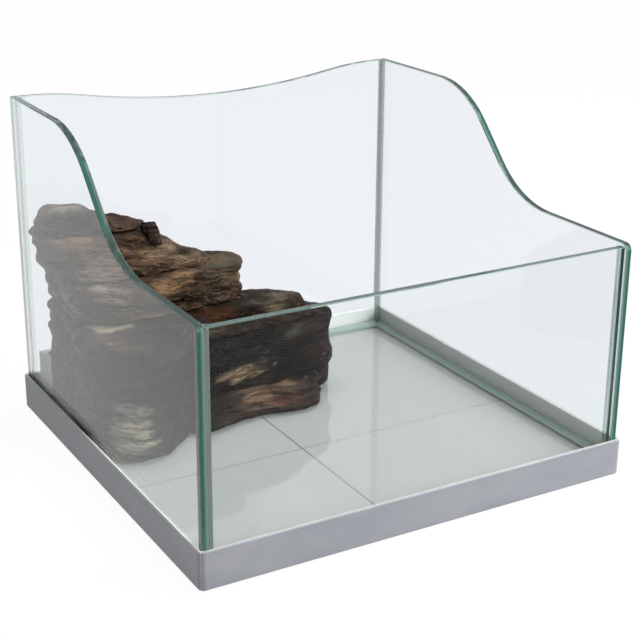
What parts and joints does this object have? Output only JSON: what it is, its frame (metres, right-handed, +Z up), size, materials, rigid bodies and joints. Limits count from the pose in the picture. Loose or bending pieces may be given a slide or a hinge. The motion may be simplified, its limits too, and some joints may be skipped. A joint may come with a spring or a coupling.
{
  "type": "turtle tank",
  "caption": "Small open-topped glass turtle tank with swept side panes, standing in a shallow grey tray, with a layered rock basking ledge in one back corner.",
  "frame": {"origin": "centre of the tray's underside", "axes": "+X right along the front pane, +Y from the front pane to the back pane, +Z up"},
  "size_m": [0.3058, 0.2958, 0.228],
  "materials": {
    "glass": "clear float glass with ground edges",
    "silicone": "translucent silicone, tooled smooth",
    "tray": "silver grey moulded ABS, satin",
    "foam": "white closed-cell foam sheet",
    "rock": "cast resin stone, painted brown and black and lacquered"
  },
  "bodies": {
    "base": {"base_tray": "tray", "floor_pad_front_left": "foam", "floor_pad_front_right": "foam", "floor_pad_back_left": "foam", "floor_pad_back_right": "foam"},
    "tank": {"bottom_glass": "glass", "front_glass": "glass", "back_glass": "glass", "left_glass": "glass", "right_glass": "glass", "corner_seal_front_left": "silicone", "corner_seal_front_right": "silicone", "corner_seal_back_left": "silicone", "corner_seal_back_right": "silicone", "floor_seal_front": "silicone", "floor_seal_back": "silicone", "floor_seal_left": "silicone", "floor_seal_right": "silicone", "packing_block": "foam"},
    "rockery": {"rock_lower_block": "rock", "rock_middle_ledge": "rock", "rock_upper_slab": "rock", "rock_tower": "rock", "rock_crown": "rock", "rock_foot_ledge": "rock", "rock_crown_knob": "rock"}
  },
  "joints": [
    {"name": "tank_lift", "type": "slide", "parent": "base", "child": "tank", "axis": [0, 0, 1], "range_m": [0, 0.05]},
    {"name": "rockery_lift", "type": "slide", "parent": "tank", "child": "rockery", "axis": [0, 0, 1], "range_m": [0, 0.23]}
  ]
}
